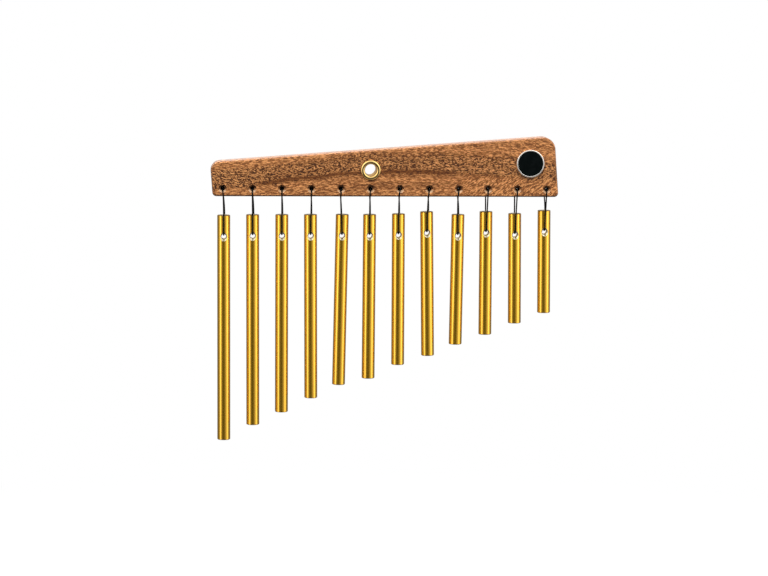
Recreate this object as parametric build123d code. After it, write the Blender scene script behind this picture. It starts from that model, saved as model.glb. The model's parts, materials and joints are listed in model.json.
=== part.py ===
from build123d import *
import os
from math import asin, cos, pi, sin, tan

# Bar chimes, in millimetres: a tapered wooden beam with a row of solid bars on short cord loops.
# The origin is the middle of the eyelet's bore, halfway through the beam.
# +X runs along the beam to its deep end, -Y is the front and +Z is up.

# Beam
beam_length = 252.6  # along the underside
beam_thickness = 16.0
shallow_end = 24.9  # end heights, square to the sloping top
deep_end = 44.4
shallow_corner_radius = 7.0  # top corners
deep_corner_radius = 9.0
bottom_corner_radius = 3.0
beam_edge_round = 1.2

# Cord holes through the beam, countersunk in front and eased behind
beam_hole_diameter = 3.0
beam_hole_sink = 1.6  # how much wider and deeper the mouth is than the bore, on a radius
beam_hole_back_sink = 0.4
beam_hole_height = 5.55  # above the underside
shallow_hole_margin = 7.3  # along the underside, from the end to the outermost hole
deep_hole_margin = 8.8
hole_under_eyelet = 6  # counted from the shallow end

# Eyelet that the chimes hang from, riveted over a washer at the back
eyelet_bore = 8.6
eyelet_wall = 0.6
eyelet_height = 19.4  # above the underside
flange_width = 3.05  # from the bore to the rim
flange_height = 1.6
flange_outer_round = 1.4
rivet_width = 1.9
rivet_height = 1.0
rivet_outer_round = 0.8
crest_width = 0.2  # flat between the outer and inner rounds of the flange and the rivet
washer_thickness = 0.9
washer_edge_round = 0.3
barrel_clearance = 0.05

# Round badge, a metal cup with a dark disc in front and a sticky pad behind
badge_diameter = 20.2
badge_height = 1.6
badge_rim = 0.9
badge_rim_outer_round = 0.5
badge_rim_inner_round = 0.2
badge_dish_depth = 0.5
badge_disc_thickness = 0.35
badge_disc_round = 0.12
badge_pad_margin = 1.7  # from the badge's rim to the pad
badge_pad_thickness = 0.4
badge_clearance = 0.05
badge_from_deep_end = 21.1  # along the underside
badge_below_top = 18.4  # square to the sloping top

# Bars
bar_diameter = 9.525
bar_end_chamfer = 0.4
bar_hole_diameter = 3.6
bar_hole_sink = 1.4
bar_hole_from_top = 15.7

# Cord, knotted behind the beam
cord_diameter = 1.0
cord_in_hole_clearance = 0.2
strand_to_beam_clearance = 0.6
strand_to_bar_clearance = 0.35
beam_lip_round = 1.4  # inside of the cord's bend over the mouth of a beam hole
bar_lip_round = 0.8  # and under the mouth of a bar hole
knot_diameter = 4.2
knot_sink = 0.2  # how far the knot is drawn into the hole's mouth
knot_stub_length = 1.2  # cord at each side of the knot that is the knot's own
tail_length = 3.7
tail_splay_angle = 19.0  # sideways, from straight up
tail_lean_angle = 8.5  # away from the beam

# For each chime, from the shallow end: the bar's length, the drop of its cord from the beam to the bar,
# and how far the loop and the bar hang off plumb, in degrees towards +X
bar_lengths = (165.8, 155.1, 145.8, 135.5, 125.8, 121.1, 111.5, 106.4, 96.0, 90.9, 81.1, 75.7)
cord_drops = (33.6, 33.2, 33.1, 33.0, 32.9, 32.9, 32.4, 30.8, 32.8, 30.6, 32.0, 29.7)
loop_sways = (1.5, 0.8, 0.4, -0.5, 2.0, -0.2, -0.7, -2.0, 0.3, -1.0, -1.3, -1.1)
bar_leans = (0.1, 0.2, 0.1, 0.4, -0.9, -0.1, 0.2, 1.0, -0.6, 0.2, 0.6, 0.6)

# Places worked out from the sizes above
cutter_overrun = 1.0
half_beam = beam_thickness / 2
cord_radius = cord_diameter / 2
bar_radius = bar_diameter / 2
knot_radius = knot_diameter / 2
flange_radius = eyelet_bore / 2 + flange_width
barrel_radius = eyelet_bore / 2 + eyelet_wall
top_slope = asin((deep_end - shallow_end) / beam_length)
hole_pitch = (beam_length - shallow_hole_margin - deep_hole_margin) / (len(bar_lengths) - 1)
shallow_x = -shallow_hole_margin - (hole_under_eyelet - 1) * hole_pitch
deep_x = shallow_x + beam_length
underside_z = -eyelet_height
# The cord lies at the bottom of its beam hole, and each bar hangs with its hole's top on the cord
cord_axis_z = underside_z + beam_hole_height - beam_hole_diameter / 2 + cord_radius + cord_in_hole_clearance
bar_hole_below_cord = bar_hole_diameter / 2 - cord_radius - cord_in_hole_clearance
front_strand_y = -half_beam - strand_to_beam_clearance - cord_radius
bar_strand_y = bar_radius + strand_to_bar_clearance + cord_radius
beam_bend = beam_lip_round + cord_radius
bar_bend = bar_lip_round + cord_radius
knot_centre = Vector(0, half_beam + knot_radius - knot_sink, 0)
knot_reach = knot_radius + knot_stub_length


def turned(points, rounded=()):
    # Turns a closed outline of (radius, y) points about Y. rounded holds (point number, radius) pairs.
    outline = make_face(Polyline(*points, close=True))
    for number, radius in rounded:
        corner = outline.vertices().sort_by_distance((*points[number], 0))[0]
        outline = fillet(corner, radius)
    return revolve(outline, Axis.Y)


def countersunk_drill(diameter, front_sink, back_sink, depth):
    # A drill along Y with 45 degree mouths at both faces of a wall that is depth thick
    bore = diameter / 2
    face = depth / 2
    outside = face + cutter_overrun
    return turned(
        [
            (0, -outside),
            (bore + front_sink + cutter_overrun, -outside),
            (bore, front_sink - face),
            (bore, face - back_sink),
            (bore + back_sink + cutter_overrun, outside),
            (0, outside),
        ]
    )


def holder_beam():
    up_x = -sin(top_slope)
    up_z = cos(top_slope)
    corners = [
        (shallow_x, underside_z),
        (deep_x, underside_z),
        (deep_x + deep_end * up_x, underside_z + deep_end * up_z),
        (shallow_x + shallow_end * up_x, underside_z + shallow_end * up_z),
    ]
    radii = [bottom_corner_radius, bottom_corner_radius, deep_corner_radius, shallow_corner_radius]
    outline = make_face(FilletPolyline(*corners, radius=radii, close=True))
    slab = extrude(Plane.XZ.offset(-half_beam) * outline, beam_thickness)
    beam = fillet(slab.faces().filter_by(Axis.Y).edges(), beam_edge_round)
    drill = countersunk_drill(beam_hole_diameter, beam_hole_sink, beam_hole_back_sink, beam_thickness)
    for number in range(len(bar_lengths)):
        beam -= Pos(hole_x(number), 0, underside_z + beam_hole_height) * drill
    barrel_hole = Cylinder(barrel_radius + barrel_clearance, beam_thickness + 2 * cutter_overrun)
    return beam - Rot(90, 0, 0) * barrel_hole


def mount_eyelet():
    bore = eyelet_bore / 2
    flange_y = -half_beam - flange_height
    washer_y = half_beam + washer_thickness
    rivet_y = washer_y + rivet_height
    outline = [
        (bore, flange_y),
        (flange_radius, flange_y),
        (flange_radius, -half_beam),
        (barrel_radius, -half_beam),
        (barrel_radius, washer_y),
        (bore + rivet_width, washer_y),
        (bore + rivet_width, rivet_y),
        (bore, rivet_y),
    ]
    rounded = [
        (0, flange_width - crest_width - flange_outer_round),
        (1, flange_outer_round),
        (6, rivet_outer_round),
        (7, rivet_width - crest_width - rivet_outer_round),
    ]
    return turned(outline, rounded)


def eyelet_washer():
    hole = barrel_radius + barrel_clearance
    back = half_beam + washer_thickness
    outline = [(hole, half_beam), (flange_radius, half_beam), (flange_radius, back), (hole, back)]
    return turned(outline, [(2, washer_edge_round)])


def on_badge_seat(piece):
    # Badge pieces are turned with the beam's front face at y = 0, and move out to their place on it
    x = deep_x - badge_from_deep_end
    from_underside = (deep_end - badge_below_top) / cos(top_slope) - badge_from_deep_end * tan(top_slope)
    return Pos(x, -half_beam, underside_z + from_underside) * piece


def badge_bezel():
    rim = badge_diameter / 2
    dish = rim - badge_rim
    floor = badge_dish_depth - badge_height
    recess = rim - badge_pad_margin + badge_clearance
    outline = [
        (0, -badge_pad_thickness),
        (recess, -badge_pad_thickness),
        (recess, 0),
        (rim, 0),
        (rim, -badge_height),
        (dish, -badge_height),
        (dish, floor),
        (0, floor),
    ]
    return on_badge_seat(turned(outline, [(4, badge_rim_outer_round), (5, badge_rim_inner_round)]))


def badge_disc():
    edge = badge_diameter / 2 - badge_rim - badge_clearance
    floor = badge_dish_depth - badge_height
    face = floor - badge_disc_thickness
    outline = [(0, floor), (edge, floor), (edge, face), (0, face)]
    return on_badge_seat(turned(outline, [(2, badge_disc_round)]))


def badge_pad():
    edge = badge_diameter / 2 - badge_pad_margin
    outline = [(0, 0), (edge, 0), (edge, -badge_pad_thickness), (0, -badge_pad_thickness)]
    return on_badge_seat(turned(outline))


def hole_x(number):
    return shallow_x + shallow_hole_margin + number * hole_pitch


def up_the_back(drop):
    # Direction of the back strand, from the bar's hole to the knot
    return (knot_centre - Vector(0, bar_strand_y, -drop)).normalized()


def cord_path(drop):
    # From the knot through the beam, down the front, through the bar and up the back to the knot again.
    # It is made about the cord's own axis in the beam hole, which is where a loop turns.
    points = [
        knot_centre - Vector(0, knot_reach, 0),
        Vector(0, front_strand_y, 0),
        Vector(0, -bar_strand_y, -drop),
        Vector(0, bar_strand_y, -drop),
        knot_centre - up_the_back(drop) * knot_reach,
    ]
    return FilletPolyline(*points, radius=[beam_bend, bar_bend, bar_bend])


def cord_run(start, direction, length):
    return extrude(Plane(start, z_dir=direction) * Circle(cord_radius), length)


def cord_loop(drop):
    path = cord_path(drop)
    section = Plane(path @ 0, z_dir=path % 0) * Circle(cord_radius)
    loop = sweep(section, path)
    share = loop.volume / (pi * cord_radius**2 * path.length)
    print(f"loop {path.length:.1f} mm long, volume {share:.4f} of section times length")
    return loop


def cord_knot(drop):
    # A ball for the tied part, with the two strands that enter it and their two cut tails
    knot = Pos(*knot_centre) * Sphere(knot_radius)
    knot += cord_run(knot_centre, Vector(0, -1, 0), knot_reach)
    knot += cord_run(knot_centre, up_the_back(drop) * -1, knot_reach)
    for splay in (-tail_splay_angle, tail_splay_angle):
        tail = Vector(0, 0, 1).rotate(Axis.X, -tail_lean_angle).rotate(Axis.Y, splay)
        knot += cord_run(knot_centre, tail, knot_radius + tail_length)
    return knot


def chime_bar(length):
    # Made about the axis of the cord that carries it, which is where a bar turns
    top = bar_hole_from_top - bar_hole_below_cord
    rod = Pos(0, 0, top - length / 2) * Cylinder(bar_radius, length)
    rod = chamfer(rod.edges().filter_by(GeomType.CIRCLE), bar_end_chamfer)
    drill = countersunk_drill(bar_hole_diameter, bar_hole_sink, bar_hole_sink, bar_diameter)
    return rod - Pos(0, 0, -bar_hole_below_cord) * drill


nodes = {
    "holder_beam": holder_beam(),
    "mount_eyelet": mount_eyelet(),
    "eyelet_washer": eyelet_washer(),
    "badge_bezel": badge_bezel(),
    "badge_disc": badge_disc(),
    "badge_pad": badge_pad(),
}
print(f"cord bends: radius {beam_bend} mm at the beam, {bar_bend} mm at the bar")
for number, (length, drop, sway, lean) in enumerate(zip(bar_lengths, cord_drops, loop_sways, bar_leans)):
    in_beam = Pos(hole_x(number), 0, cord_axis_z) * Rot(0, -sway, 0)
    in_bar = in_beam * Pos(0, 0, -drop) * Rot(0, sway - lean, 0)
    nodes[f"cord_knot_{number + 1:02d}"] = in_beam * cord_knot(drop)
    nodes[f"cord_loop_{number + 1:02d}"] = in_beam * cord_loop(drop)
    nodes[f"chime_bar_{number + 1:02d}"] = in_bar * chime_bar(length)

os.makedirs("parts", exist_ok=True)
for name, shape in nodes.items():
    export_step(shape, f"parts/{name}.step")
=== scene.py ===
import bpy
import bmesh
import json
import math
from mathutils import Matrix, Quaternion, Vector

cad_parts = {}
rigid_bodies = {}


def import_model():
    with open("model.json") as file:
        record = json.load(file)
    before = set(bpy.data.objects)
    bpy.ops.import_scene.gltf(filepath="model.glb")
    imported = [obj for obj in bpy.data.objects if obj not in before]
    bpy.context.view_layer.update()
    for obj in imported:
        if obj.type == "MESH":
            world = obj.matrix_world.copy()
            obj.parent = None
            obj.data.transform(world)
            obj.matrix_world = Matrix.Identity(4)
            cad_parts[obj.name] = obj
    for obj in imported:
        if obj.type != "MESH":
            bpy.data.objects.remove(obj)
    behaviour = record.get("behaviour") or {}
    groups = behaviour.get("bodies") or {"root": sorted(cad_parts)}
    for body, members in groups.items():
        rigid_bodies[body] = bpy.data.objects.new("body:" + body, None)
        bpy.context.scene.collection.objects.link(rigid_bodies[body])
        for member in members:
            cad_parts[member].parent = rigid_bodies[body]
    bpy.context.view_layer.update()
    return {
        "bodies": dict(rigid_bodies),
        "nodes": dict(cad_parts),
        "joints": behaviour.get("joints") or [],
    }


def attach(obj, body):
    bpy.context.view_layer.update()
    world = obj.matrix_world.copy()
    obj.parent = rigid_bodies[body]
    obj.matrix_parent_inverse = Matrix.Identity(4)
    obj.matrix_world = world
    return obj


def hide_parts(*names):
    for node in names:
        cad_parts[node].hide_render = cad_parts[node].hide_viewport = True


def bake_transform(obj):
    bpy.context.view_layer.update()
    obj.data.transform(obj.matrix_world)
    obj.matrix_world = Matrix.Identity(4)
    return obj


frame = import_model()
scene = bpy.context.scene
mm = 0.001
chimeNumbers = [f"{n + 1:02d}" for n in range(sum(name.startswith("bar_") for name in frame["bodies"]))]
jointPlace = {j["name"]: Vector(j["pos_m"]) for j in frame["joints"]}
print("frame loaded,", len(chimeNumbers), "chimes")

# camera, found from the beam's holes and the bar ends in the photograph
shot = {
    "target": (10.92, 0.0, -87.36),  # mm
    "azimuth": -4.0,
    "elevation": 7.0,
    "roll": 0.4926,
    "distance": 2000.0,
    "lens": 127.68,
    "sensorWidth": 36.0,
    "clipEnd": 50.0,  # m
}


def towards(azimuth, elevation):
    # direction from the object, in degrees to the right of the front and above the horizon
    around, above = math.radians(azimuth), math.radians(elevation)
    return Vector((math.sin(around) * math.cos(above), -math.cos(around) * math.cos(above), math.sin(above)))


def makeCamera():
    cameraData = bpy.data.cameras.new("photoCamera")
    cameraData.lens = shot["lens"]
    cameraData.sensor_width = shot["sensorWidth"]
    cameraData.clip_end = shot["clipEnd"]
    camera = bpy.data.objects.new("photoCamera", cameraData)
    scene.collection.objects.link(camera)
    back = towards(shot["azimuth"], shot["elevation"])
    camera.location = (Vector(shot["target"]) + back * shot["distance"]) * mm
    camera.rotation_mode = "QUATERNION"
    roll = Quaternion((0, 0, 1), math.radians(shot["roll"]))
    camera.rotation_quaternion = (-back).to_track_quat("-Z", "Y") @ roll
    scene.camera = camera


makeCamera()


# shared helpers
def addNode(tree, kind, inputs=None, **settings):
    node = tree.nodes.new(kind)
    for name, value in settings.items():
        setattr(node, name, value)
    for name, value in (inputs or {}).items():
        if isinstance(value, bpy.types.NodeSocket):
            tree.links.new(value, node.inputs[name])
        else:
            node.inputs[name].default_value = value
    return node


def newMaterial(name, **sockets):
    material = bpy.data.materials.new(name)
    material.use_nodes = True
    tree = material.node_tree
    shader = tree.nodes["Principled BSDF"]
    for socketName, value in sockets.items():
        shader.inputs[socketName.replace("_", " ")].default_value = value
    return material, tree, shader


def inMillimetres(tree, place=None):
    place = place or addNode(tree, "ShaderNodeTexCoord").outputs["Object"]
    return addNode(tree, "ShaderNodeVectorMath", {0: place, "Scale": 1 / mm}, operation="SCALE").outputs[0]


def sized(tree, place, size, turn=0.0):
    # place measured in steps of the given size (mm along x, y and z), turned up from x towards z in degrees
    inputs = {"Vector": place, "Scale": size, "Rotation": (0, math.radians(-turn), 0)}
    return addNode(tree, "ShaderNodeMapping", inputs, vector_type="TEXTURE").outputs[0]


def noise(tree, vector, scale=1.0, detail=2.0, rough=0.5):
    inputs = {"Vector": vector, "Scale": scale, "Detail": detail, "Roughness": rough}
    return addNode(tree, "ShaderNodeTexNoise", inputs).outputs["Fac"]


def between(tree, value, low, high, toLow=0.0, toHigh=1.0):
    inputs = {"Value": value, "From Min": low, "From Max": high, "To Min": toLow, "To Max": toHigh}
    return addNode(tree, "ShaderNodeMapRange", inputs, interpolation_type="SMOOTHSTEP").outputs[0]


def math1(tree, operation, value):
    return addNode(tree, "ShaderNodeMath", {0: value}, operation=operation).outputs[0]


def math2(tree, operation, first, second):
    return addNode(tree, "ShaderNodeMath", {0: first, 1: second}, operation=operation).outputs[0]


def mixValue(tree, factor, first, second):
    return addNode(tree, "ShaderNodeMix", {0: factor, 2: first, 3: second}).outputs[0]


def mixColour(tree, factor, first, second, how="MIX"):
    # the numbers are the mix node's sockets for colours
    inputs = {0: factor, 6: first, 7: second}
    return addNode(tree, "ShaderNodeMix", inputs, data_type="RGBA", blend_type=how).outputs[2]


def bump(tree, shader, height, strength, distance):
    node = addNode(tree, "ShaderNodeBump", {"Height": height, "Strength": strength, "Distance": distance})
    tree.links.new(node.outputs[0], shader.inputs["Normal"])


def placeMesh(name, mesh, smoothAngle):
    mesh.shade_smooth()
    mesh.set_sharp_from_angle(angle=math.radians(smoothAngle))
    piece = bpy.data.objects.new(name, mesh)
    scene.collection.objects.link(piece)
    return piece


def evaluatedMesh(piece):
    # the mesh after the piece's modifiers and bevels
    return bpy.data.meshes.new_from_object(piece.evaluated_get(bpy.context.evaluated_depsgraph_get()))


def finishMesh(name, bm, materials, smoothAngle=30.0):
    mesh = bpy.data.meshes.new(name)
    bm.to_mesh(mesh)
    bm.free()
    for material in materials:
        mesh.materials.append(material)
    return placeMesh(name, mesh, smoothAngle)


def dressNode(node, material):
    slots = frame["nodes"][node].data.materials
    slots.clear()
    slots.append(material)


# wood of the beam
beamWood = {
    "tone": (0.270, 0.094, 0.025, 1),
    "calmTone": (0.400, 0.143, 0.040, 1),
    "shade": (0.112, 0.030, 0.005, 1),
    # what dark and pale flecks do to the colour under them
    "fleckDark": (0.07, 0.055, 0.045, 1),
    "fleckPale": (2.9, 3.8, 5.0, 1),
    "pore": (0.045, 0.016, 0.006, 1),
    # the growth line that the grain follows, as x and z in mm, and how far it waves up and down
    "growthLine": (
        (-118, -13.4), (-74, -9.1), (-40, -5.4), (-7, -1.6), (24, -1.0), (50, -1.2), (86, -2.6), (138, -7.0)
    ),
    "waveSize": (38, 30, 9),
    "waveHeight": 1.0,
    "bandSize": (120, 12, 3.2),
    # calm wood, with weaker flecks, lies below and above the growth line and fades in between two heights
    "calmBelow": (-0.5, -3.0),
    "calmAbove": (10.0, 15.0),
    # dark lines as height over the growth line, half width, strength, from x, to x
    "darkLines": (
        (0.2, 2.8, 0.9, -84, 0),
        (0.2, 3.4, 1.0, 2, 64),
        (-0.6, 2.6, 0.5, 58, 96),
        (10.7, 1.7, 0.6, -62, -4),
        (11.6, 1.2, 0.6, -4, 64),
        (8.8, 1.0, 0.5, 10, 64),
        (11.8, 1.3, 0.55, 55, 112),
        (8.0, 1.0, 0.4, 60, 118),
        (5.0, 1.0, 0.35, -80, -12),
    ),
    "lineFade": 8,
    # flecks: sizes in mm, and how steeply they rise to the right in degrees
    "fleckSize": (1.45, 0.52, 0.49),
    "calmSize": (2.3, 0.55, 0.48),
    "slantSize": (2.2, 0.55, 0.58),
    "poreSize": (3.4, 0.5, 0.32),
    "fall": -22.0,
    "slant": 36.0,
    # where they fall, as x, and where they rise, as x and z, each fading in between two places
    "fallAlong": (-50, -75),
    "slantAlong": (40, 90),
    "slantBelow": (0.0, -8.0),
    # noise levels between which flecks and pores fade in
    "darkFlecks": (0.49, 0.44),
    "paleFlecks": (0.515, 0.565),
    "pores": (0.60, 0.70),
    "poreStrength": 0.6,
    # how strong the flecks are in plain wood, calm wood and the slanting corner, and what dark lines leave
    "busyPlain": 0.9,
    "busyCalm": 0.55,
    "busyCorner": 0.6,
    "busyInLines": 0.5,
    # painted shade, with some drill scorch, on the wall of the cord holes, painted shade on their
    # countersinks' upper side, and a painted highlight on their lower side
    "boreScorchAndShade": (0.05, 0.045, 0.04, 1),
    "sinkShade": (0.34, 0.32, 0.30, 1),
    "wearAndHighlight": (0.55, 0.34, 0.19, 1),
    "drilledRadius": 1.5,
    "sinkRadius": 3.1,
    "sinkFrom": 7.9,
    "holeOverCord": 0.8,
    "highlightHeights": (-0.4, -1.1),  # from the hole's middle
    "sinkShadeHeights": (-0.2, 0.6),
    # how softly the marks end round the hole, round the countersink and at the beam's face
    "drilledFade": 0.25,
    "sinkFade": 0.2,
    "faceFade": 0.15,
    # painted shade on the rounded lower edge, between two heights in mm
    "edgeShade": (0.30, 0.27, 0.24, 1),
    "edgeShadeHeights": (-18.1, -18.9),
    "roughness": (0.5, 0.36),  # of dark and pale flecks
}


def curveThrough(tree, value, points):
    # a smooth curve through (x, z) points
    lowX, highX = points[0][0], points[-1][0]
    lowZ, highZ = min(z for x, z in points), max(z for x, z in points)
    along = addNode(tree, "ShaderNodeMapRange", {"Value": value, "From Min": lowX, "From Max": highX})
    curve = addNode(tree, "ShaderNodeFloatCurve", {"Value": along.outputs[0]})
    bends = curve.mapping.curves[0].points
    while len(bends) < len(points):
        bends.new(0.5, 0.5)
    for bend, (x, z) in zip(bends, points):
        bend.location = ((x - lowX) / (highX - lowX), (z - lowZ) / (highZ - lowZ))
    curve.mapping.update()
    inputs = {"Value": curve.outputs[0], "To Min": lowZ, "To Max": highZ}
    return addNode(tree, "ShaderNodeMapRange", inputs).outputs[0]


def window(tree, value, low, high, fade):
    # 1 between low and high, fading to 0 outside
    rising = between(tree, value, low - fade, low + fade)
    falling = between(tree, value, high - fade, high + fade, 1.0, 0.0)
    return math2(tree, "MULTIPLY", rising, falling)


def holeMarks(tree, axes):
    # 1 at the walls of the row of cord holes, and 1 on the lower and the upper side of their countersinks;
    # these place painted shade in the bores and on the upper sides, and a painted highlight on the lower
    # sides
    first, second = jointPlace["loop_sway_01"] / mm, jointPlace["loop_sway_02"] / mm
    half = (second.x - first.x) / 2
    aside = math2(tree, "SUBTRACT", axes["X"], first.x)
    aside = addNode(tree, "ShaderNodeMath", {0: aside, 1: half, 2: -half}, operation="WRAP").outputs[0]
    above = math2(tree, "SUBTRACT", axes["Z"], first.z + beamWood["holeOverCord"])
    away = addNode(tree, "ShaderNodeCombineXYZ", {0: aside, 1: above})
    away = addNode(tree, "ShaderNodeVectorMath", {0: away.outputs[0]}, operation="LENGTH").outputs["Value"]
    radius, sinkRadius, sinkFrom = beamWood["drilledRadius"], beamWood["sinkRadius"], beamWood["sinkFrom"]
    # painted shade, with some drill scorch, on the bore walls
    boreScorchAndShade = between(tree, away, radius + beamWood["drilledFade"], radius)
    fromMiddle = math1(tree, "ABSOLUTE", axes["Y"])
    sunk = between(tree, fromMiddle, sinkFrom, sinkFrom - beamWood["faceFade"])
    near = between(tree, away, sinkRadius + beamWood["sinkFade"], sinkRadius)
    sunk = math2(tree, "MULTIPLY", sunk, near)
    # painted highlight on the countersinks' lower side
    lower = math2(tree, "MULTIPLY", sunk, between(tree, above, *beamWood["highlightHeights"]))
    # painted shade on the countersinks' upper side
    upper = math2(tree, "MULTIPLY", sunk, between(tree, above, *beamWood["sinkShadeHeights"]))
    return boreScorchAndShade, lower, upper


def makeBeamWood():
    material, tree, shader = newMaterial(
        "beamWood", Specular_IOR_Level=0.35, Coat_Weight=0.35, Coat_Roughness=0.22
    )
    wood = beamWood
    place = inMillimetres(tree)
    axes = addNode(tree, "ShaderNodeSeparateXYZ", {0: place}).outputs
    # height over the growth line, a little wavy, stands in for z in all patterns that follow the grain
    rise = math2(tree, "SUBTRACT", axes["Z"], curveThrough(tree, axes["X"], wood["growthLine"]))
    wave = noise(tree, sized(tree, place, wood["waveSize"]), 1.0, 1.0)
    rise = math2(tree, "ADD", rise, between(tree, wave, 0.2, 0.8, -wood["waveHeight"], wood["waveHeight"]))
    grain = addNode(tree, "ShaderNodeCombineXYZ", {0: axes["X"], 1: axes["Y"], 2: rise}).outputs[0]
    # long soft bands and the dark growth lines
    bands = noise(tree, sized(tree, grain, wood["bandSize"]), 1.0, 3.0, 0.55)
    calmBelow = between(tree, rise, *wood["calmBelow"])
    calm = math2(tree, "MAXIMUM", calmBelow, between(tree, rise, *wood["calmAbove"]))
    colour = mixColour(tree, calm, wood["tone"], wood["calmTone"])
    shade = between(tree, bands, 0.56, 0.34, 0.0, 0.4)
    for height, width, strength, start, end in wood["darkLines"]:
        off = math1(tree, "ABSOLUTE", math2(tree, "SUBTRACT", rise, height))
        line = between(tree, off, 0.0, width, strength, 0.0)
        line = math2(tree, "MULTIPLY", line, window(tree, axes["X"], start, end, wood["lineFade"]))
        shade = math2(tree, "MAXIMUM", shade, line)
    colour = mixColour(tree, shade, colour, wood["shade"])
    # short flecks, dark and pale: they fall to the right at the shallow end, then lie along the grain,
    # longer in calm wood, and rise to the right along the deep half's underside
    falling = noise(tree, sized(tree, grain, wood["fleckSize"], wood["fall"]), 1.0, 2.0, 0.6)
    lying = noise(tree, sized(tree, grain, wood["fleckSize"]), 1.0, 2.0, 0.6)
    longer = noise(tree, sized(tree, grain, wood["calmSize"]), 1.0, 2.0, 0.6)
    slanting = noise(tree, sized(tree, place, wood["slantSize"], wood["slant"]), 1.0, 2.0, 0.6)
    below = between(tree, axes["Z"], *wood["slantBelow"])
    corner = math2(tree, "MULTIPLY", between(tree, axes["X"], *wood["slantAlong"]), below)
    flecks = mixValue(tree, between(tree, axes["X"], *wood["fallAlong"]), lying, falling)
    flecks = mixValue(tree, calm, flecks, longer)
    flecks = mixValue(tree, corner, flecks, slanting)
    busy = between(tree, calm, 0.0, 1.0, wood["busyPlain"], wood["busyCalm"])
    busy = math2(tree, "MAXIMUM", busy, between(tree, corner, 0.0, 1.0, 0.0, wood["busyCorner"]))
    busy = math2(tree, "MULTIPLY", busy, between(tree, shade, 0.3, 0.9, 1.0, wood["busyInLines"]))
    dark = math2(tree, "MULTIPLY", between(tree, flecks, *wood["darkFlecks"]), busy)
    pale = math2(tree, "MULTIPLY", between(tree, flecks, *wood["paleFlecks"]), busy)
    colour = mixColour(tree, dark, colour, wood["fleckDark"], "MULTIPLY")
    colour = mixColour(tree, pale, colour, wood["fleckPale"], "MULTIPLY")
    # open pores, thin dashes along the grain
    pores = between(tree, noise(tree, sized(tree, grain, wood["poreSize"]), 1.0, 1.0), *wood["pores"])
    colour = mixColour(tree, math2(tree, "MULTIPLY", pores, wood["poreStrength"]), colour, wood["pore"])
    # painted shade on the rounded lower edge, and painted shade and a painted highlight at the cord holes
    shadedEdge = between(tree, axes["Z"], *wood["edgeShadeHeights"])
    # painted shade on the rounded lower edge
    colour = mixColour(tree, shadedEdge, colour, wood["edgeShade"], "MULTIPLY")
    boreScorchAndShade, wearAndHighlight, shadedSink = holeMarks(tree, axes)
    # the bores' colour: painted shade, with some drill scorch
    scorchedAndShaded = mixColour(tree, 1.0, colour, wood["boreScorchAndShade"], "MULTIPLY")
    # painted shade on the countersinks' upper side
    colour = mixColour(tree, shadedSink, colour, wood["sinkShade"], "MULTIPLY")
    # painted highlight on the countersinks' lower side
    colour = mixColour(tree, wearAndHighlight, colour, wood["wearAndHighlight"])
    colour = mixColour(tree, boreScorchAndShade, colour, scorchedAndShaded)
    tree.links.new(colour, shader.inputs["Base Color"])
    tree.links.new(between(tree, flecks, 0.3, 0.7, *wood["roughness"]), shader.inputs["Roughness"])
    height = math2(tree, "SUBTRACT", math2(tree, "MULTIPLY", flecks, 0.3), pores)
    bump(tree, shader, height, 0.25, 0.0001)
    return material


# bars
chimeBars = {
    "diameter": 9.525,
    "chamfer": 0.4,
    "holeDiameter": 3.6,
    "holeSink": 1.4,
    "holeFromTop": 15.7,
    "holeBelowCord": 1.1,
    "around": 96,
    "holeAround": 48,
    "drillOver": 1.0,  # how far the drill reaches past the bar
    "smoothAngle": 20,
    "lengths": (165.8, 155.1, 145.8, 135.5, 125.8, 121.1, 111.5, 106.4, 96.0, 90.9, 81.1, 75.7),
    "leans": (0.1, 0.2, 0.1, 0.4, -0.9, -0.1, 0.2, 1.0, -0.6, 0.2, 0.6, 0.6),  # degrees towards +X
    "drawnSize": (0.5, 0.5, 60),  # fine lines along the bar
    "sawMarks": (4, 0.25, 4),
    "drillMarks": (0.4, 3, 0.4),
    "gold": (0.95, 0.515, 0.022, 1),
    "goldRoughness": (0.12, 0.17),
    "sawnEnd": (0.22, 0.14, 0.03, 1),
    "bareHole": (0.95, 0.84, 0.58, 1),
    "sawnEdge": (1, 1, 1, 1),
    "holeEdge": (0.30, 0.21, 0.08, 1),
}


def makeBarGold():
    material, tree, shader = newMaterial(
        "barGold", Base_Color=chimeBars["gold"], Metallic=0.86, Specular_IOR_Level=0.2,
        Coat_Weight=1.0, Coat_Roughness=0.08,
    )
    drawn = noise(tree, sized(tree, inMillimetres(tree), chimeBars["drawnSize"]), 1.0, 1.0, 0.5)
    tree.links.new(between(tree, drawn, 0.2, 0.8, *chimeBars["goldRoughness"]), shader.inputs["Roughness"])
    bump(tree, shader, drawn, 0.006, 0.00001)
    return material


def makeCutMetal(name, colour, edge, roughness, markSize):
    # bare metal with the marks of the saw or the drill
    material, tree, shader = newMaterial(name, Metallic=1.0, Specular_Tint=edge)
    marks = noise(tree, sized(tree, inMillimetres(tree), markSize), 1.0, 2.0, 0.6)
    dull = [0.75 * part for part in colour[:3]] + [1]
    colour = mixColour(tree, between(tree, marks, 0.3, 0.7), dull, colour)
    tree.links.new(colour, shader.inputs["Base Color"])
    tree.links.new(between(tree, marks, 0.3, 0.7, roughness, roughness + 0.15), shader.inputs["Roughness"])
    bump(tree, shader, marks, 0.3, 0.00004)
    return material


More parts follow.
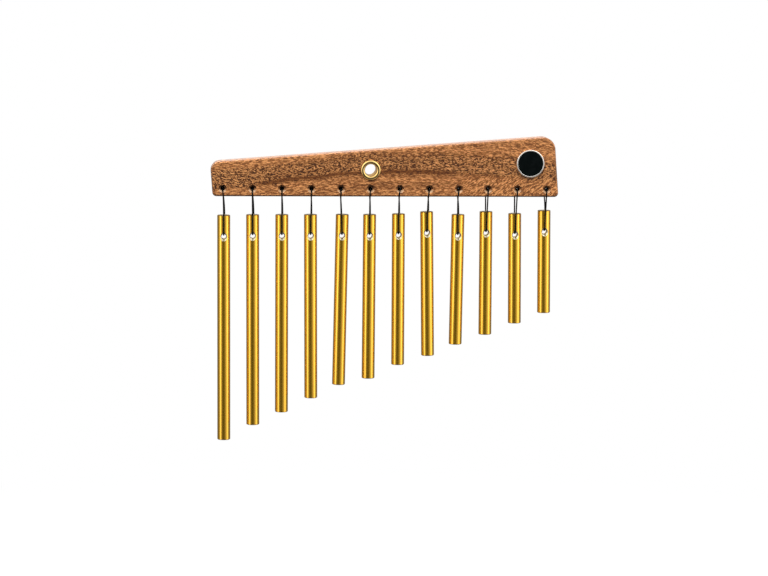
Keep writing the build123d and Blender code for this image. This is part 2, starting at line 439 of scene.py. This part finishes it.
def turnedShape(outline, axis, around):
    # outline: (radius, height) points, spun about the axis
    bm = bmesh.new()
    points = [bm.verts.new((radius, 0, height)) for radius, height in outline]
    edges = [bm.edges.new(pair) for pair in zip(points, points[1:])]
    bmesh.ops.spin(
        bm, geom=points + edges, cent=(0, 0, 0), axis=(0, 0, 1), angle=math.tau, steps=around, use_merge=True
    )
    bmesh.ops.remove_doubles(bm, verts=bm.verts, dist=1e-7)
    if axis == "Y":
        bmesh.ops.rotate(bm, verts=bm.verts, cent=(0, 0, 0), matrix=Matrix.Rotation(math.pi / 2, 3, "X"))
    bmesh.ops.recalc_face_normals(bm, faces=bm.faces)
    return bm


def makeBar(number, length, lean, finishes):
    radius, chamfer = chimeBars["diameter"] / 2, chimeBars["chamfer"]
    top = chimeBars["holeFromTop"] - chimeBars["holeBelowCord"]
    foot = top - length
    outline = [(0, top), (radius - chamfer, top), (radius, top - chamfer)]
    outline += [(radius, foot + chamfer), (radius - chamfer, foot), (0, foot)]
    rod = turnedShape([(r * mm, z * mm) for r, z in outline], "Z", chimeBars["around"])
    bore, sink, over = chimeBars["holeDiameter"] / 2, chimeBars["holeSink"], chimeBars["drillOver"]
    wide, end = bore + sink + over, radius + over
    drillOutline = [(0, -end), (wide, -end), (bore, sink - radius)]
    drillOutline += [(bore, radius - sink), (wide, end), (0, end)]
    drill = turnedShape([(r * mm, z * mm) for r, z in drillOutline], "Y", chimeBars["holeAround"])
    bmesh.ops.translate(drill, verts=drill.verts, vec=(0, 0, -chimeBars["holeBelowCord"] * mm))
    for face in rod.faces:
        face.material_index = 1 if abs(face.normal.z) > 0.5 else 0
    for face in drill.faces:
        face.material_index = 2
    rodPiece = finishMesh("rod", rod, finishes)
    drillPiece = finishMesh("drill", drill, finishes)
    cut = rodPiece.modifiers.new("crossHole", "BOOLEAN")
    cut.operation, cut.object, cut.solver = "DIFFERENCE", drillPiece, "EXACT"
    mesh = evaluatedMesh(rodPiece)
    for scrap in (rodPiece, drillPiece):
        bpy.data.objects.remove(scrap)
    place = Matrix.Translation(jointPlace[f"bar_swing_{number}"])
    mesh.transform(place @ Matrix.Rotation(math.radians(-lean), 4, "Y"))
    mesh.name = f"goldBar{number}"
    bar = placeMesh(f"goldBar{number}", mesh, chimeBars["smoothAngle"])
    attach(bar, f"bar_{number}")
    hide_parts(f"chime_bar_{number}")


# cords and knots
cord = {
    "diameter": 1.0,
    "roundness": 6,
    "strands": 4,
    "braidHeight": 0.05,
    "braidPitch": 1.3,
    "yarnDark": (0.0035, 0.0030, 0.0028, 1),
    "yarnPale": (0.009, 0.0075, 0.0065, 1),
    "yarnWorn": (0.020, 0.017, 0.015, 1),
    "yarnSize": (0.12, 0.12, 0.5),
    "wornSize": (0.8, 0.8, 4.0),
    "runStep": 24,  # spline points between two route points
    "ringGap": 0.22,  # between two rings of the tube
    "smoothAngle": 60,
    "bendFrom": -17.0,  # heights where the loop starts and stops following its knot
    "bendTo": -28.0,
    # how far each loop's front and back strand stand to the right of its holes, below the beam
    "frontShifts": (0.33, -0.08, -0.16, -0.16, -0.57, -0.55, -0.75, -0.85, -0.9, -0.27, -0.36, -0.26),
    "backShifts": (1.08, 1.12, 0.93, 0.95, 0.60, 0.92, 1.05, 1.3, 1.4, 0.17, 0.2, 1.2),
}
knot = {
    "middle": (0.2, 9.9, 0.0),
    "diameter": 1.3,
    "sizes": (0.36, 0.68),  # inner and outer strand
    "depth": 0.6,
    "opening": 0.5,
    "steps": 22,
    "runStep": 8,
    # from the knot's middle: how far each strand's tail stands aside, and where the strand comes in
    "tails": (-1.6, 1.7),
    "roots": ((-0.2, -1.7, 0.0), (0, 0.0, -3.0)),
}


def loopRoute(drop, front, back):
    # from the knot, out of the beam's front, down, through the bar and up the back, in mm
    return [
        (0, 9.4, 0.0),
        (0, 3.0, 0.0),
        (0, -6.6, 0.2),
        (front * 0.5, -9.2, -0.8),
        (front, -9.1, -9.0),
        (front * 0.6, -6.0, 8.4 - drop),
        (0, -5.7, 1.9 - drop),
        (0, -3.8, -0.1 - drop),
        (0, 3.8, -0.1 - drop),
        (0, 5.7, 1.9 - drop),
        (back, 6.1, 8.4 - drop),
        (back, 9.0, -9.0),
        (0, 9.6, -1.0),
    ]


def curveAlong(name, kind, places):
    curve = bpy.data.curves.new(name, "CURVE")
    curve.dimensions = "3D"
    spline = curve.splines.new(kind)
    spline.points.add(len(places) - 1)
    for point, place in zip(spline.points, places):
        point.co = (*place, 1)
    holder = bpy.data.objects.new(name, curve)
    scene.collection.objects.link(holder)
    return holder


def splinePoints(route, name, step):
    holder = curveAlong(name, "NURBS", route)
    spline = holder.data.splines[0]
    spline.resolution_u = step
    spline.order_u = 3
    spline.use_endpoint_u = True
    mesh = evaluatedMesh(holder)
    points = [v.co.copy() for v in mesh.vertices]
    bpy.data.objects.remove(holder)
    bpy.data.meshes.remove(mesh)
    return points


def evenly(points, gap):
    # the same line with its points one gap apart
    kept, left = [points[0]], gap
    for a, b in zip(points, points[1:]):
        run = (b - a).length
        at = left
        while at <= run:
            kept.append(a.lerp(b, at / run))
            at += gap
        left = at - run
    return kept


def braidedTube(points, diameter):
    # a round tube along the points, raised where a strand of the braid lies on top
    holder = curveAlong("braid", "POLY", points)
    holder.data.bevel_depth = diameter / 2
    holder.data.bevel_resolution = cord["roundness"]
    mesh = evaluatedMesh(holder)
    bpy.data.objects.remove(holder)
    bm = bmesh.new()
    bm.from_mesh(mesh)
    bpy.data.meshes.remove(mesh)
    straight = bm.verts.layers.float_vector.new("straight")
    bm.verts.ensure_lookup_table()
    around = len(bm.verts) // len(points)
    gap = (points[1] - points[0]).length
    for index, v in enumerate(bm.verts):
        ring, place = divmod(index, around)
        turn, run = math.tau * place / around, ring * gap
        lift = math.cos(cord["strands"] * turn) * math.cos(math.tau * run / (cord["braidPitch"] * mm))
        v[straight] = (math.cos(turn) * diameter / 2, math.sin(turn) * diameter / 2, run)
        v.co += (v.co - points[ring]).normalized() * lift * cord["braidHeight"] * mm
    bmesh.ops.holes_fill(bm, edges=bm.edges, sides=0)
    return bm


def makeCordBlack():
    # waxed yarns that cross over and under, with a little fuzz
    material, tree, shader = newMaterial(
        "cordBlack", Specular_IOR_Level=0.08, Sheen_Weight=0.02, Sheen_Roughness=0.4
    )
    straight = addNode(tree, "ShaderNodeAttribute", attribute_name="straight").outputs["Vector"]
    place = inMillimetres(tree, straight)
    yarn = noise(tree, sized(tree, place, cord["yarnSize"]), 1.0, 2.0, 0.6)
    # worn, paler patches of the yarn
    wearAndHighlight = noise(tree, sized(tree, place, cord["wornSize"]), 1.0, 2.0, 0.6)
    colour = mixColour(tree, between(tree, yarn, 0.35, 0.7), cord["yarnDark"], cord["yarnPale"])
    colour = mixColour(tree, between(tree, wearAndHighlight, 0.6, 0.8, 0.0, 0.5), colour, cord["yarnWorn"])
    tree.links.new(colour, shader.inputs["Base Color"])
    tree.links.new(between(tree, yarn, 0.3, 0.7, 0.6, 0.8), shader.inputs["Roughness"])
    bump(tree, shader, yarn, 0.4, 0.00004)
    return material


def inLoopFrame(number, points):
    # the loop's own (x, y, z) in mm, turned with the loop about its cord in the beam's hole
    hole, bar = jointPlace[f"loop_sway_{number}"], jointPlace[f"bar_swing_{number}"]
    sway = math.atan2(bar.x - hole.x, hole.z - bar.z)
    place = Matrix.Translation(hole) @ Matrix.Rotation(-sway, 4, "Y")
    return [place @ (Vector(p) * mm) for p in points]


def makeCordLoop(number, front, back, black):
    hole, bar = jointPlace[f"loop_sway_{number}"], jointPlace[f"bar_swing_{number}"]
    drop = (bar - hole).length / mm
    route = inLoopFrame(number, loopRoute(drop, front, back))
    points = evenly(splinePoints(route, f"route{number}", cord["runStep"]), cord["ringGap"] * mm)
    length = sum((b - a).length for a, b in zip(points, points[1:]))
    bm = braidedTube(points, cord["diameter"] * mm)
    bmesh.ops.recalc_face_normals(bm, faces=bm.faces)
    loop = finishMesh(f"cordLoop{number}", bm, [black], cord["smoothAngle"])
    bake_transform(loop)
    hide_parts(f"cord_loop_{number}")
    return loop, points, length


def knotStrand(size):
    # an overhand knot, from the tail down to where the strand comes in
    strand = []
    first, last = math.pi + knot["opening"], 3 * math.pi - knot["opening"]
    for step in range(knot["steps"] + 1):
        t = first + (last - first) * step / knot["steps"]
        x = -(math.cos(t) - 2 * math.cos(2 * t)) * size
        z = (math.sin(t) + 2 * math.sin(2 * t)) * size
        strand.append((x, math.sin(3 * t) * knot["depth"], z))
    return strand


def makeKnot(number, black):
    bm = bmesh.new()
    bm.verts.layers.float_vector.new("straight")
    middle = Vector(knot["middle"])
    for size, tail, root in zip(knot["sizes"], knot["tails"], knot["roots"]):
        strand = [(tail, 0.8, 5.6), (tail * 0.6, 0.5, 3.6)] + knotStrand(size) + [root]
        route = inLoopFrame(number, [middle + Vector(p) for p in strand])
        points = evenly(splinePoints(route, f"knotRoute{number}", knot["runStep"]), cord["ringGap"] * mm)
        tube = braidedTube(points, knot["diameter"] * mm)
        mesh = bpy.data.meshes.new("strand")
        tube.to_mesh(mesh)
        tube.free()
        bm.from_mesh(mesh)
        bpy.data.meshes.remove(mesh)
    bmesh.ops.recalc_face_normals(bm, faces=bm.faces)
    tied = finishMesh(f"tiedKnot{number}", bm, [black], cord["smoothAngle"])
    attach(tied, f"knot_{number}")
    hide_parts(f"cord_knot_{number}")
    return tied


cordBlack = makeCordBlack()
for number, front, back in zip(chimeNumbers, cord["frontShifts"], cord["backShifts"]):
    loop, points, length = makeCordLoop(number, front, back, cordBlack)
    tied = makeKnot(number, cordBlack)
print("cords and knots made")

barFinishes = [
    makeBarGold(),
    makeCutMetal("barSawnEnd", chimeBars["sawnEnd"], chimeBars["sawnEdge"], 0.4, chimeBars["sawMarks"]),
    makeCutMetal("barBareHole", chimeBars["bareHole"], chimeBars["holeEdge"], 0.2, chimeBars["drillMarks"]),
]
for number, length, lean in zip(chimeNumbers, chimeBars["lengths"], chimeBars["leans"]):
    makeBar(number, length, lean, barFinishes)
print("bars made")


# fittings
eyelet = {
    "bright": (0.82, 0.56, 0.20, 1),
    "dull": (0.66, 0.44, 0.14, 1),
    "edge": (0.60, 0.40, 0.10, 1),
    "smooth": 0.1,
    "rough": 0.2,
    "hazeSize": 3.0,
}
bezel = {
    "bright": (0.97, 0.93, 0.86, 1),
    "dull": (0.82, 0.78, 0.71, 1),
    "edge": (1, 1, 1, 1),
    "smooth": 0.28,
    "rough": 0.36,
    "hazeSize": 8.0,
}
scratches = {
    "size": (3.0, 3.0, 0.12),
    "turn": 25,
}
badge = {
    "enamel": (0.0012, 0.0026, 0.0026, 1),
    "enamelHaze": (0.0025, 0.0045, 0.0045, 1),
    "hazeSize": (5, 5, 5),
    "rippleSize": (1.1, 1.1, 1.1),
    "foam": (0.022, 0.022, 0.023, 1),
    "foamPale": (0.060, 0.060, 0.062, 1),
    "foamCells": 3.2,  # in each mm
}


def makePlating(name, bright, dull, edge, smooth, rough, hazeSize):
    # polished plating with a faint handling haze and fine scratches
    material, tree, shader = newMaterial(name, Metallic=1.0, Specular_Tint=edge)
    place = inMillimetres(tree)
    haze = noise(tree, sized(tree, place, (hazeSize, hazeSize, hazeSize)), 1.0, 3.0, 0.6)
    lines = noise(tree, sized(tree, place, scratches["size"], scratches["turn"]), 1.0, 2.0, 0.6)
    colour = mixColour(tree, between(tree, haze, 0.55, 0.85), bright, dull)
    tree.links.new(colour, shader.inputs["Base Color"])
    tree.links.new(between(tree, haze, 0.3, 0.8, smooth, rough), shader.inputs["Roughness"])
    bump(tree, shader, lines, 0.03, 0.00001)
    return material


def makeBadgeEnamel():
    material, tree, shader = newMaterial("badgeEnamel", Specular_IOR_Level=0.2)
    place = inMillimetres(tree)
    haze = noise(tree, sized(tree, place, badge["hazeSize"]), 1.0, 3.0, 0.6)
    ripple = noise(tree, sized(tree, place, badge["rippleSize"]), 1.0, 1.0)
    colour = mixColour(tree, between(tree, haze, 0.45, 0.8), badge["enamel"], badge["enamelHaze"])
    tree.links.new(colour, shader.inputs["Base Color"])
    tree.links.new(between(tree, haze, 0.3, 0.8, 0.14, 0.26), shader.inputs["Roughness"])
    bump(tree, shader, ripple, 0.1, 0.00003)
    return material


def makePadFoam():
    material, tree, shader = newMaterial("padFoam", Roughness=0.9, Specular_IOR_Level=0.2)
    inputs = {"Vector": inMillimetres(tree), "Scale": badge["foamCells"]}
    cells = addNode(tree, "ShaderNodeTexVoronoi", inputs).outputs["Distance"]
    colour = mixColour(tree, between(tree, cells, 0.1, 0.6), badge["foam"], badge["foamPale"])
    tree.links.new(colour, shader.inputs["Base Color"])
    bump(tree, shader, cells, 0.6, 0.0001)
    return material


brass = makePlating("eyeletBrass", **eyelet)
dressNode("mount_eyelet", brass)
dressNode("eyelet_washer", brass)
dressNode("badge_bezel", makePlating("bezelSilver", **bezel))
dressNode("badge_disc", makeBadgeEnamel())
dressNode("badge_pad", makePadFoam())
dressNode("holder_beam", makeBeamWood())
print("finishes made")

# studio
studio = {
    "floor": -360.0,  # mm
    "floorSize": 6.0,  # m
    "floorFade": (0.3, 0.8),  # m from the middle
    "domeRadius": 2.7,  # m
    "skyDiffuse": 0.1,
    # brightness by direction, as (degrees from the front, level), and by height above the horizon
    "sides": (
        (-180, 0.75), (-165, 0.65), (-150, 0.25), (-125, 0.18), (-105, 0.22), (-82, 0.44), (-60, 2.75),
        (-42, 0.38), (-24, 0.08), (-5, 0.0), (14, 0.16), (32, 0.60), (50, 1.20), (68, 2.85), (82, 0.95),
        (100, 0.30), (125, 0.18), (150, 0.25), (165, 0.65), (180, 0.75),
    ),
    "sideHeights": ((-90, 0.1), (-35, 0.15), (-12, 0.72), (-4, 1.0), (50, 1.0), (70, 0.6), (90, 0.5)),
    "overhead": (
        (-90, 0.02), (-80, 0.05), (-70, 0.4), (-55, 0.4), (-40, 0.02),
        (2, 0.0), (14, 0.6), (35, 1.0), (60, 1.2), (90, 1.3),
    ),
    # softboxes: name, azimuth, elevation, distance and size in m, power in W
    "softboxes": (
        ("frontSoftbox", -14, 48, 1.9, (1.3, 0.9), 36),
        ("rightSoftbox", 55, 25, 1.8, (0.8, 1.2), 11),
        ("backSoftbox", 165, 14, 1.9, (1.3, 0.9), 20),
        ("topSoftbox", 0, 78, 1.5, (1.4, 1.0), 14),
    ),
}


def makeWorld():
    world = bpy.data.worlds.new("studioWorld")
    scene.world = world
    world.use_nodes = True
    tree = world.node_tree
    path = addNode(tree, "ShaderNodeLightPath")
    seen = math2(tree, "MAXIMUM", path.outputs["Is Camera Ray"], path.outputs["Is Glossy Ray"])
    seen = math2(tree, "MAXIMUM", seen, path.outputs["Is Transmission Ray"])
    inputs = {"Value": seen, "To Min": studio["skyDiffuse"], "To Max": 1.0}
    strength = addNode(tree, "ShaderNodeMapRange", inputs)
    background = tree.nodes["Background"]
    background.inputs["Color"].default_value = (1, 1, 1, 1)
    tree.links.new(strength.outputs[0], background.inputs["Strength"])


def makeFloor():
    bm = bmesh.new()
    bmesh.ops.create_grid(bm, x_segments=1, y_segments=1, size=studio["floorSize"])
    bmesh.ops.translate(bm, verts=bm.verts, vec=(0, 0, studio["floor"] * mm))
    material, tree, shader = newMaterial(
        "paleFloor", Base_Color=(0.98, 0.98, 0.98, 1), Roughness=0.9, Specular_IOR_Level=0.1
    )
    place = addNode(tree, "ShaderNodeTexCoord").outputs["Object"]
    away = addNode(tree, "ShaderNodeVectorMath", {0: place}, operation="LENGTH").outputs["Value"]
    white = addNode(tree, "ShaderNodeEmission", {"Color": (1, 1, 1, 1), "Strength": 1.0})
    fade = between(tree, away, *studio["floorFade"])
    surface = addNode(tree, "ShaderNodeMixShader", {0: fade, 1: shader.outputs[0], 2: white.outputs[0]})
    tree.links.new(surface.outputs[0], tree.nodes["Material Output"].inputs["Surface"])
    floor = finishMesh("paleFloor", bm, [material])
    floor.visible_glossy = False
    floor.visible_diffuse = False


def rampOf(tree, value, stops, low, high):
    # brightness stops given as (angle, level) between the low and high angle, in degrees
    inputs = {"Value": value, "From Min": math.radians(low), "From Max": math.radians(high)}
    ramp = addNode(tree, "ShaderNodeValToRGB", {0: addNode(tree, "ShaderNodeMapRange", inputs).outputs[0]})
    elements = ramp.color_ramp.elements
    while len(elements) < len(stops):
        elements.new(0.5)
    for element, (angle, level) in zip(elements, stops):
        element.position = (angle - low) / (high - low)
        element.color = (level, level, level, 1)
    return ramp.outputs[0]


def makeReflectorDome():
    # what polished metal shows: bright panels left, right and overhead, dark towards the camera and below
    bm = bmesh.new()
    bmesh.ops.create_uvsphere(bm, u_segments=64, v_segments=32, radius=studio["domeRadius"])
    material = bpy.data.materials.new("reflectorDome")
    material.use_nodes = True
    tree = material.node_tree
    tree.nodes.remove(tree.nodes["Principled BSDF"])
    place = addNode(tree, "ShaderNodeTexCoord").outputs["Object"]
    place = addNode(tree, "ShaderNodeVectorMath", {0: place}, operation="NORMALIZE").outputs[0]
    place = addNode(tree, "ShaderNodeSeparateXYZ", {0: place}).outputs
    front = math2(tree, "MULTIPLY", place["Y"], -1.0)
    azimuth = math2(tree, "ARCTAN2", place["X"], front)  # 0 in front, half a turn behind
    height = math1(tree, "ARCSINE", place["Z"])
    sides = rampOf(tree, azimuth, studio["sides"], -180, 180)
    sides = mixColour(tree, 1.0, sides, rampOf(tree, height, studio["sideHeights"], -90, 90), "MULTIPLY")
    light = mixColour(tree, 1.0, sides, rampOf(tree, height, studio["overhead"], -90, 90), "ADD")
    glow = addNode(tree, "ShaderNodeEmission", {"Color": light, "Strength": 1.0})
    tree.links.new(glow.outputs[0], tree.nodes["Material Output"].inputs["Surface"])
    dome = finishMesh("reflectorDome", bm, [material])
    dome.visible_camera = False
    dome.visible_diffuse = False
    dome.visible_shadow = False
    dome.visible_transmission = False


def addSoftbox(name, azimuth, elevation, distance, size, power):
    lampData = bpy.data.lights.new(name, "AREA")
    lampData.shape = "RECTANGLE"
    lampData.size, lampData.size_y = size
    lampData.energy = power
    lamp = bpy.data.objects.new(name, lampData)
    scene.collection.objects.link(lamp)
    back = towards(azimuth, elevation)
    lamp.location = back * distance
    lamp.rotation_mode = "QUATERNION"
    lamp.rotation_quaternion = (-back).to_track_quat("-Z", "Y")
    lamp.visible_camera = False
    lamp.visible_glossy = False


scene.view_settings.view_transform = "Standard"
makeWorld()
makeFloor()
makeReflectorDome()
for softbox in studio["softboxes"]:
    addSoftbox(*softbox)
print("studio made")
